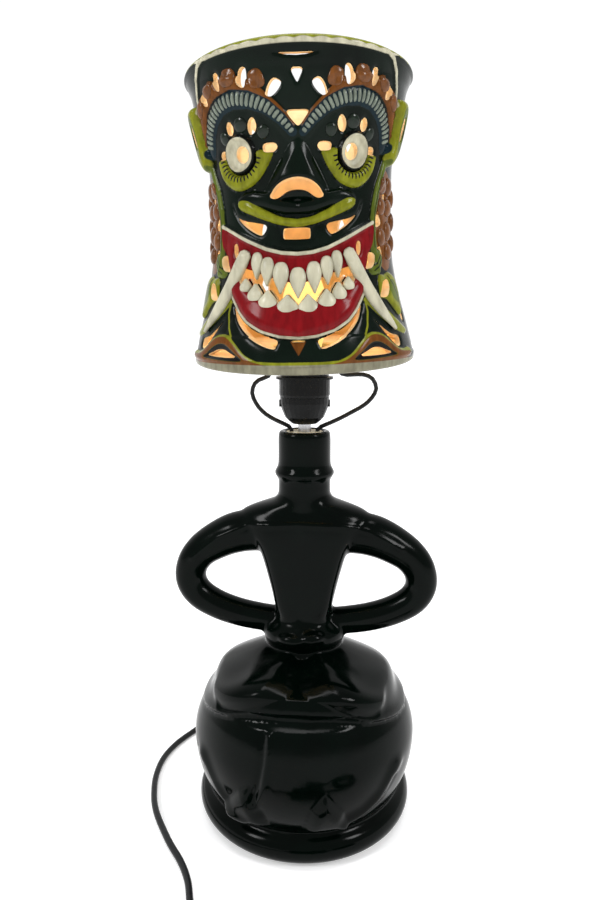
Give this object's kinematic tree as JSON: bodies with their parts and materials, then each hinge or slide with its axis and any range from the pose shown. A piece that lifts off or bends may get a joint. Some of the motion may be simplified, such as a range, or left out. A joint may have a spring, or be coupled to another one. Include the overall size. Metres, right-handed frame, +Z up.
{
  "type": "table lamp",
  "caption": "Table lamp: black ceramic figure bottle, lampholder on a threaded tube, bent wire carrier and a pierced ceramic mask shade that lifts off and turns.",
  "frame": {"origin": "centre of the felt pad's underside, on the table", "axes": "+Z up, the mask looks towards -Y, +X to its left (the viewer's right)"},
  "size_m": [0.2651, 0.3746, 0.559],
  "materials": {
    "black_glaze": "high gloss black glaze",
    "mask_glaze": "gloss glaze, painted brown, yellow-green, cream, red and grey on black-green",
    "felt": "felt",
    "cream_stopper": "matt",
    "steel": "zinc plated",
    "black_plastic": "satin",
    "white_ceramic": "matt",
    "brass": "polished",
    "black_wire": "satin black lacquer",
    "silicone": "matt",
    "glass": "clear",
    "filament": "glowing",
    "black_cord": "satin"
  },
  "bodies": {
    "lamp_base": {"carrier_ring": "black_wire", "carrier_wire_left": "black_wire", "carrier_wire_right": "black_wire", "centre_contact": "brass", "cord_coil": "black_cord", "cord_grommet": "black_cord", "cord_run": "black_cord", "cord_to_coil": "black_cord", "cord_to_plug": "black_cord", "figure_body": "black_glaze", "foot_felt": "felt", "holder_cap": "black_plastic", "holder_skirt": "black_plastic", "inner_flex": "black_cord", "neck_stopper": "cream_stopper", "plug_body": "black_plastic", "plug_pin_back": "brass", "plug_pin_front": "brass", "plug_relief": "black_plastic", "screw_shell": "brass", "stopper_nut": "steel", "stopper_washer": "steel", "switch_base": "black_plastic", "switch_contact_in": "brass", "switch_contact_out": "brass", "switch_cover": "black_plastic", "switch_relief_in": "black_plastic", "switch_relief_out": "black_plastic", "terminal_block": "white_ceramic", "terminal_screw_back": "steel", "terminal_screw_front": "steel", "threaded_tube": "steel"},
    "shade_seat": {"shade_gasket": "silicone"},
    "shade": {"mask_shade": "mask_glaze"},
    "bulb": {"bulb_contact": "brass", "bulb_insulator": "black_plastic", "bulb_cap": "brass", "bulb_glass": "glass", "bulb_stem": "glass", "bulb_filament": "filament"},
    "rocker": {"switch_rocker": "black_plastic"}
  },
  "joints": [
    {"name": "shade_lift", "type": "slide", "parent": "lamp_base", "child": "shade_seat", "axis": [0, 0, 1], "range_m": [0, 0.13]},
    {"name": "shade_turn", "type": "hinge", "parent": "shade_seat", "child": "shade", "pos_m": [0, 0, 0.3645], "axis": [-0.0243, -0.1045, 0.9942], "continuous": true},
    {"name": "bulb_out", "type": "slide", "parent": "lamp_base", "child": "bulb", "axis": [0, 0, 1], "range_m": [0, 0.03]},
    {"name": "switch_rocker", "type": "hinge", "parent": "lamp_base", "child": "rocker", "pos_m": [0.006, -0.1535, 0.0124], "axis": [0, 1, 0], "range_deg": [0, 10]}
  ]
}
